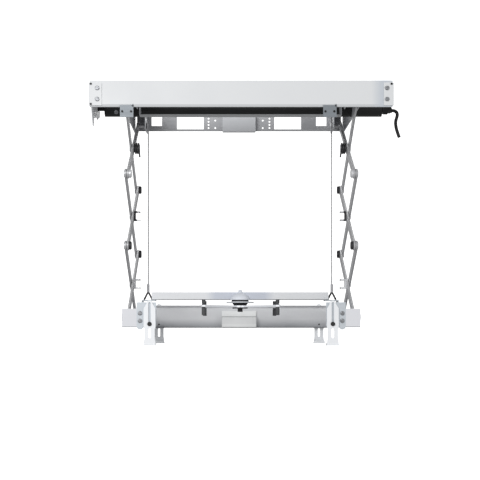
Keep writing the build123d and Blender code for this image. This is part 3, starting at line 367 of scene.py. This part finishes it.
def axis_place(tree, axis):
    """A place on the object along an axis, from the middle plane (SIDE) or the upright axis (ROUND)."""
    place = place_on_object(tree)
    if axis == "ROUND":
        flat = tree.nodes.new("ShaderNodeVectorMath")
        flat.operation = "MULTIPLY"
        flat.inputs[1].default_value = (1, 1, 0)
        tree.links.new(place, flat.inputs[0])
        far = tree.nodes.new("ShaderNodeVectorMath")
        far.operation = "LENGTH"
        tree.links.new(flat.outputs["Vector"], far.inputs[0])
        return far.outputs["Value"]
    parts = tree.nodes.new("ShaderNodeSeparateXYZ")
    tree.links.new(place, parts.inputs["Vector"])
    if axis == "SIDE":
        return size_of(tree, parts.outputs["X"])
    return parts.outputs[axis]


def inside(tree, value, low, high, soft=SHARP):
    """One where a value lies between two limits."""
    up = between(tree, value, (low - soft, low + soft))
    down = between(tree, value, (high - soft, high + soft), FALLING)
    both = tree.nodes.new("ShaderNodeMath")
    both.operation = "MULTIPLY"
    tree.links.new(up, both.inputs[0])
    tree.links.new(down, both.inputs[1])
    return both.outputs["Value"]


def mark(colour, axis, low=-FAR, high=FAR, soft=SHARP):
    """A mark on a tone: its colour, an axis, two places along it and its edge's half width."""
    return colour, axis, low, high, soft


def marked(tree, tone, marks):
    """A tone with marks on it."""
    for colour, axis, low, high, soft in marks:
        mask = inside(tree, axis_place(tree, axis), low, high, soft)
        tone = blend_colours(tree, mask, tone, colour)
    return tone


# Kinds of finish

def painted(name, rough=0.42, grain=900.0, relief=0.12, metal=0.0, worn=0.5, gloss=0.5, marks=()):
    """Powder-coated or lacquered sheet: fine orange peel, faint cloudy tone and paler edges."""
    material, tree, shader = new_material(name)
    colour, shade = TONES[name]
    place = place_vector(tree)
    cloud = noise(tree, place, CLOUD_SCALE, DETAIL_FINE)
    tone = blend_colours(tree, between(tree, cloud, CLOUD_SPAN), colour, shade)
    edge_tone = [min(1.0, part + (1 - part) * WORN_LIFT_SHARE) for part in colour]
    faded = between(tree, edge_value(tree), WHOLE, (0.0, worn))
    tone = marked(tree, blend_colours(tree, faded, tone, edge_tone), marks)
    tree.links.new(tone, shader.inputs["Base Color"])
    dull = between(tree, cloud, ROUGH_SPAN, around(rough, PAINT_ROUGH_SPREAD))
    tree.links.new(dull, shader.inputs["Roughness"])
    shader.inputs["Specular IOR Level"].default_value = gloss
    shader.inputs["Metallic"].default_value = metal
    add_bump(tree, shader, noise(tree, place, grain, DETAIL_PLAIN), relief, PEEL_DEEP)
    return material


def zinc_sheet(name, rough=0.4, metal=0.3, relief=0.1):
    """Zinc-finished sheet: pale spangle, faint rolling lines and brighter edges."""
    material, tree, shader = new_material(name)
    light, dark = TONES[name]
    spangle = tree.nodes.new("ShaderNodeTexVoronoi")
    spangle.inputs["Scale"].default_value = SPANGLE_SCALE
    spangle.inputs["Randomness"].default_value = SPANGLE_CHANCE
    tree.links.new(place_vector(tree), spangle.inputs["Vector"])
    grey = tree.nodes.new("ShaderNodeSeparateColor")
    tree.links.new(spangle.outputs["Color"], grey.inputs["Color"])
    lines = noise(tree, place_vector(tree, ROLL_STRETCH), ROLL_SCALE, DETAIL_FINE)
    speckle = between(tree, grey.outputs["Red"], WHOLE, (0.0, SPANGLE_SHARE))
    tone = blend_colours(tree, speckle, light, dark)
    tone = blend_colours(tree, between(tree, lines, LINE_SPAN, (0.0, ROLL_SHARE)), tone, dark)
    bright = scaled(light, ZINC_EDGE_SHARE)
    tone = blend_colours(tree, edge_value(tree, THIN_EDGE_SPAN), tone, bright)
    tree.links.new(tone, shader.inputs["Base Color"])
    dull = between(tree, lines, ROUGH_SPAN, around(rough, ZINC_ROUGH_SPREAD))
    tree.links.new(dull, shader.inputs["Roughness"])
    shader.inputs["Metallic"].default_value = metal
    add_bump(tree, shader, lines, relief, ROLL_DEEP)
    return material


def brushed(name, tilt, rough=0.36, metal=0.35, relief=0.15):
    """Flat bar with draw lines along its length, darker on its cut edges."""
    material, tree, shader = new_material(name)
    light, dark = TONES[name]
    lines = noise(tree, place_vector(tree, DRAW_STRETCH, tilt), DRAW_SCALE, DETAIL_FINEST, DRAW_ROUGH)
    cloud = noise(tree, place_vector(tree), BAR_CLOUD_SCALE)
    tone = blend_colours(tree, between(tree, lines, CLOUD_SPAN, (0.0, DRAW_SHARE)), light, dark)
    cloudy = between(tree, cloud, BAR_CLOUD_SPAN, (0.0, BAR_CLOUD_SHARE))
    tone = blend_colours(tree, cloudy, tone, dark)
    normal = tree.nodes.new("ShaderNodeSeparateXYZ")
    way = tree.nodes.new("ShaderNodeNewGeometry").outputs["True Normal"]
    tree.links.new(way, normal.inputs["Vector"])
    cut = between(tree, size_of(tree, normal.outputs["X"]), FLAT_SPAN, FALLING)
    tone = blend_colours(tree, cut, tone, scaled(light, CUT_SHARE))
    tree.links.new(tone, shader.inputs["Base Color"])
    dull = between(tree, lines, ROUGH_SPAN, around(rough, DRAW_ROUGH_SPREAD))
    tree.links.new(dull, shader.inputs["Roughness"])
    shader.inputs["Metallic"].default_value = metal
    add_bump(tree, shader, lines, relief, DRAW_DEEP)
    return material


def plastic(name, rough=0.5, grain=1400.0, relief=0.2, gloss=0.35, marks=()):
    """Moulded plastic with a fine spark-eroded grain."""
    material, tree, shader = new_material(name)
    colour, shade = TONES[name]
    place = place_vector(tree)
    cloud = noise(tree, place, PLASTIC_CLOUD_SCALE)
    tone = blend_colours(tree, between(tree, cloud, CLOUD_SPAN), colour, shade)
    tree.links.new(marked(tree, tone, marks), shader.inputs["Base Color"])
    fine = noise(tree, place, grain, DETAIL_PLAIN)
    dull = between(tree, fine, ROUGH_SPAN, around(rough, PLASTIC_ROUGH_SPREAD))
    tree.links.new(dull, shader.inputs["Roughness"])
    shader.inputs["Specular IOR Level"].default_value = gloss
    add_bump(tree, shader, fine, relief, PLASTIC_DEEP)
    return material


def turned_steel(name, black=CAP_TONE, near=FAR, far=FAR + MM, metal=0.5, rough=0.36, relief=0.1):
    """Turned steel, with black parts between two distances from the middle plane."""
    material, tree, shader = new_material(name)
    steel, dark = TONES[name]
    rings = noise(tree, place_vector(tree), RING_SCALE)
    tone = blend_colours(tree, between(tree, rings, CLOUD_SPAN, (0.0, RING_SHARE)), steel, dark)
    tone = blend_colours(tree, edge_value(tree), tone, scaled(steel, STEEL_EDGE_SHARE))
    mask = inside(tree, axis_place(tree, "SIDE"), near, far)
    tree.links.new(blend_colours(tree, mask, tone, black), shader.inputs["Base Color"])
    tree.links.new(between(tree, mask, WHOLE, (metal, 0.0)), shader.inputs["Metallic"])
    dull = between(tree, mask, WHOLE, (rough, BLACK_PART_ROUGH))
    tree.links.new(dull, shader.inputs["Roughness"])
    add_bump(tree, shader, rings, relief, DRAW_DEEP)
    return material


# The finishes

def box_shade_marks():
    """The junction box's dark split line and its shallow ribs, painted as darker lines of shade."""
    marks = [mark(SPLIT_SHADE_TONE, "Z", BOX_SPLIT - BOX_SPLIT_HALF, BOX_SPLIT + BOX_SPLIT_HALF)]
    for rib in range(BOX_RIBS):
        z = BOX_RIB_TOP - rib * BOX_RIB_PITCH
        marks.append(mark(RIB_SHADE_TONE, "Z", z - BOX_RIB_HALF, z + BOX_RIB_HALF))
    return marks


# Painted shade: the front panel's lip painted darker
lip_shade_mark = mark(LIP_SHADE_TONE, "Z", high=LIP_TOP)
# Painted reflection: a faint bluish band near the front panel's right end
painted_reflection_mark = mark(BLUE_REFLECTION_TONE, "X", REFLECTION_START, REFLECTION_END, GRADUAL)
# Painted shade on the lifting bar: darker and bluer near the middle, and a dark line along its bottom
bar_shade_marks = (
    mark(BAR_SHADE_TONE, "SIDE", high=BAR_SHADE, soft=GRADUAL),
    mark(SHADE_LINE_TONE, "Z", high=BAR_SHADE_LINE),
)
# Painted shade on the rear beam: darker towards the bottom, and a dark line along its bottom
beam_shade_marks = (
    mark(BEAM_SHADE_TONE, "Z", high=BEAM_SHADE, soft=GRADUAL),
    mark(SHADE_LINE_TONE, "Z", high=BEAM_SHADE_LINE),
)

# the front panel's paint carries painted shade on its lip and a painted reflection near its right end
white_paint = painted("white_paint", rough=0.45, marks=(lip_shade_mark, painted_reflection_mark))
bracket_paint = painted("bracket_paint", rough=0.45)
# painted shade: the right end bracket black behind its flange
motor_bracket = painted("motor_bracket", rough=0.45, marks=(mark(BRACKET_SHADE_TONE, "Y", low=FLANGE_BACK),))
# the darker zinc copies on the rear panel, cross tie and tabs carry painted shade
shaded_frame_zinc = zinc_sheet("shaded_frame_zinc")
box_zinc = zinc_sheet("box_zinc")
shaded_tie_zinc = zinc_sheet("shaded_tie_zinc")
rail_zinc = zinc_sheet("rail_zinc")
shaded_tab_zinc = zinc_sheet("shaded_tab_zinc")
corner_zinc = zinc_sheet("corner_zinc")
# painted shadow: the low rails' bottom edge painted dark
rail_sheet = painted("rail_sheet", rough=0.38, relief=0.06, marks=(mark(SHADE_LINE_TONE, "Z", high=RAIL_SHADE_LINE),))
bar_sheet = painted("bar_sheet", rough=0.4, metal=0.1, relief=0.06, marks=bar_shade_marks)
bell_sheet = painted("bell_sheet", rough=0.5, relief=0.05, gloss=0.3)
beam_sheet = painted("beam_sheet", rough=0.38, metal=0.1, relief=0.05, marks=beam_shade_marks)
leg_zinc = painted("leg_zinc", rough=0.36, metal=0.1, relief=0.06)
arm_sheet = painted("arm_sheet", rough=0.34, metal=0.2, relief=0.06)
tube_black = painted("tube_black", rough=0.46, worn=0.02, gloss=0.25)
black_plastic = plastic("black_plastic", gloss=0.25)
knob_plastic = plastic("knob_plastic")
disc_plastic = plastic("disc_plastic", marks=(mark(RIM_TONE, "ROUND", low=RIM_START),))
white_plastic = plastic("white_plastic", rough=0.45, marks=box_shade_marks())
cord_sheath = plastic("cord_sheath", rough=0.46, grain=1800.0)
spring_black = painted("spring_black", rough=0.4, metal=0.3, worn=0.1)
lug_black = painted("lug_black", worn=0.05, marks=(mark(SPLICE_TONE, "Z", low=LUG_START),))
motor_steel = painted("motor_steel", rough=0.45, metal=0.2, worn=0.05)
falling_steel = brushed("falling_steel", ARM_TILT)
rising_steel = brushed("rising_steel", -ARM_TILT)
capped_pins = turned_steel("capped_pins", near=CAP_NEAR, far=CAP_FAR)
roller_pins = turned_steel("roller_pins", near=ROLLER_NEAR, far=ROLLER_FAR)
screw_steel = turned_steel("screw_steel")
clamp_screws = turned_steel("clamp_screws", CLAMP_TONE, CLAMP_NEAR, CLAMP_FAR)
rope_steel = turned_steel("rope_steel")

LOOKS = {
    "front_panel": white_paint,
    "rear_panel": shaded_frame_zinc,
    "centre_box": box_zinc,
    "cross_tie": shaded_tie_zinc,
    "end_bracket_left": bracket_paint,
    "end_bracket_right": motor_bracket,
    "panel_tabs": shaded_tab_zinc,
    "dark_studs": black_plastic,
    "frame_fasteners": screw_steel,
    "top_rail_left": rail_zinc,
    "top_rail_right": rail_zinc,
    "motor_head": black_plastic,
    "motor_barrel": motor_steel,
    "lifting_rope_left": rope_steel,
    "lifting_rope_right": rope_steel,
    "power_cord": black_plastic,
    "winding_tube": tube_black,
    "idler_plug": black_plastic,
    "drive_wheel": black_plastic,
    "rope_anchors": screw_steel,
    "low_rail_left": rail_sheet,
    "low_rail_right": rail_sheet,
    "rear_beam": beam_sheet,
    "lifting_bar": bar_sheet,
    "carriage_brackets": corner_zinc,
    "rope_lugs": lug_black,
    "junction_box": white_plastic,
    "carriage_fasteners": clamp_screws,
    "spider_bell": bell_sheet,
    "turn_discs": disc_plastic,
    "spider_arms": arm_sheet,
    "spider_knobs": knob_plastic,
}


def look_of(name):
    """The finish of a node that the table doesn't list."""
    if "pins" in name:
        return roller_pins if name.startswith(("rising_arm_1_pins", "falling_arm_3_pins")) else capped_pins
    if name.startswith("falling_arm"):
        return falling_steel
    if name.startswith("rising_arm"):
        return rising_steel
    if name.startswith("torsion_spring"):
        return spring_black
    return leg_zinc


def dress(node, material):
    """Give every slot of a node its finish."""
    for slot in node.material_slots:
        slot.link = "OBJECT"
        slot.material = material


for node_name in nodes:
    dress(nodes[node_name], LOOKS.get(node_name) or look_of(node_name))


# Ropes

def new_mesh_piece(name, points, faces, material):
    """A smooth mesh object from points and faces."""
    mesh = bpy.data.meshes.new(name)
    mesh.from_pydata(points, [], faces)
    mesh.update()
    for polygon in mesh.polygons:
        polygon.use_smooth = True
    piece = bpy.data.objects.new(name, mesh)
    bpy.context.scene.collection.objects.link(piece)
    mesh.materials.append(material)
    return piece


def strand_points(x, offset, steps):
    """The rings of points round one strand of a rope."""
    length = ROPE_TOP - ROPE_BOTTOM
    orbit = ROPE_RADIUS - ROPE_STRAND_RADIUS
    points = []
    for step in range(steps + 1):
        z = ROPE_TOP - length * step / steps
        angle = offset + 2 * pi * (length * step / steps) / ROPE_LAY
        centre = Vector((x + orbit * cos(angle), ROPE_Y + orbit * sin(angle), z))
        along = Vector((-orbit * sin(angle), orbit * cos(angle), -ROPE_LAY / (2 * pi))).normalized()
        out = Vector((cos(angle), sin(angle), 0))
        over = along.cross(out)
        for side in range(ROPE_STRAND_SIDES):
            turn = 2 * pi * side / ROPE_STRAND_SIDES
            points.append(centre + (out * cos(turn) + over * sin(turn)) * ROPE_STRAND_RADIUS)
    return points


def strand_faces(first, steps):
    """The side faces and the two end faces of a strand whose points start at a number."""
    sides = ROPE_STRAND_SIDES
    faces = []
    for step in range(steps):
        for side in range(sides):
            here = first + step * sides + side
            there = first + step * sides + (side + 1) % sides
            faces.append((here, there, there + sides, here + sides))
    last = first + steps * sides
    faces.append(tuple(first + side for side in reversed(range(sides))))
    faces.append(tuple(last + side for side in range(sides)))
    return faces


def laid_rope(name, x):
    """Strands wound round each other along a straight rope."""
    steps = int((ROPE_TOP - ROPE_BOTTOM) / ROPE_LAY * ROPE_STEPS_A_TURN)
    points = []
    faces = []
    for strand in range(ROPE_STRANDS):
        faces.extend(strand_faces(len(points), steps))
        points.extend(strand_points(x, 2 * pi * strand / ROPE_STRANDS, steps))
    return new_mesh_piece(name, points, faces, rope_steel)


for side_name, side_x in (("left", -ROPE_X), ("right", ROPE_X)):
    rope = laid_rope(f"rope_laid_{side_name}", side_x)
    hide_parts(f"lifting_rope_{side_name}")
    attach(rope, "frame")
    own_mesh(rope)


# Power cord

def make_cord():
    """The round black flex along its route."""
    curve = bpy.data.curves.new("cord_flex", "CURVE")
    curve.dimensions = "3D"
    spline = curve.splines.new("NURBS")
    spline.points.add(len(CORD_POINTS) - 1)
    for point, place in zip(spline.points, CORD_POINTS):
        point.co = (*[part * MM for part in place], 1.0)
    spline.order_u = CORD_ORDER
    spline.use_endpoint_u = True
    curve.bevel_depth = CORD_RADIUS
    curve.bevel_resolution = CORD_ROUND_STEPS
    curve.use_fill_caps = True
    curve.resolution_u = CORD_STEPS
    curve.materials.append(cord_sheath)
    piece = bpy.data.objects.new("cord_flex", curve)
    bpy.context.scene.collection.objects.link(piece)
    return piece


cord = make_cord()
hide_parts("power_cord")
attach(cord, "frame")


# Room, lights and camera

def room():
    """A pale floor that turns up into a plain backdrop."""
    material, _, shader = new_material("pale_floor")
    shader.inputs["Base Color"].default_value = FLOOR_TONE
    shader.inputs["Roughness"].default_value = FLOOR_ROUGH
    shader.inputs["Specular IOR Level"].default_value = 0.0
    shader.inputs["Emission Color"].default_value = PURE_WHITE
    shader.inputs["Emission Strength"].default_value = 1.0
    outline = [(-FLOOR_HALF, FLOOR)]
    for step in range(BEND_STEPS + 1):
        angle = pi / 2 * step / BEND_STEPS
        outline.append((WALL_NEAR + WALL_BEND * sin(angle), FLOOR + WALL_BEND * (1 - cos(angle))))
    outline.append((WALL_NEAR + WALL_BEND, WALL_TOP))
    points = [(x, y, z) for y, z in outline for x in (-FLOOR_HALF, FLOOR_HALF)]
    faces = [(2 * n, 2 * n + 1, 2 * n + 3, 2 * n + 2) for n in range(len(outline) - 1)]
    floor = new_mesh_piece("studio_floor", points, faces, material)
    floor.visible_diffuse = False
    floor.visible_glossy = False


def area_light(name, place, size, power):
    """A soft square light that looks at the lift."""
    light = bpy.data.lights.new(name, "AREA")
    light.shape = "SQUARE"
    light.size = size
    light.energy = power
    lamp = bpy.data.objects.new(name, light)
    lamp.location = place
    way = Vector(LIGHT_TARGET) - Vector(place)
    lamp.rotation_euler = way.to_track_quat("-Z", "Y").to_euler()
    bpy.context.scene.collection.objects.link(lamp)


def set_world():
    """Even light from all round, and tones shown as they are."""
    world = bpy.data.worlds.new("room")
    world.use_nodes = True
    background = world.node_tree.nodes["Background"]
    background.inputs["Color"].default_value = PURE_WHITE
    background.inputs["Strength"].default_value = ROOM_LIGHT
    bpy.context.scene.world = world
    bpy.context.scene.view_settings.view_transform = "Standard"


def set_camera():
    """The camera that took the photograph."""
    view = bpy.data.cameras.new("camera")
    view.sensor_width = SENSOR
    view.lens = PIXELS_PER_METRE_AT_ONE_METRE * SENSOR / PICTURE
    view.shift_x = (PICTURE / 2 - CENTRE_X_PIXEL) / PICTURE
    view.shift_y = (CENTRE_Y_PIXEL - PICTURE / 2) / PICTURE
    view.clip_end = VIEW_END
    view.dof.use_dof = False
    camera = bpy.data.objects.new("camera", view)
    camera.location = CAMERA_PLACE
    camera.rotation_euler = (radians(CAMERA_TILT), 0, 0)
    bpy.context.scene.collection.objects.link(camera)
    bpy.context.scene.camera = camera


room()
for light_row in LIGHTS:
    area_light(*light_row)
set_world()
set_camera()
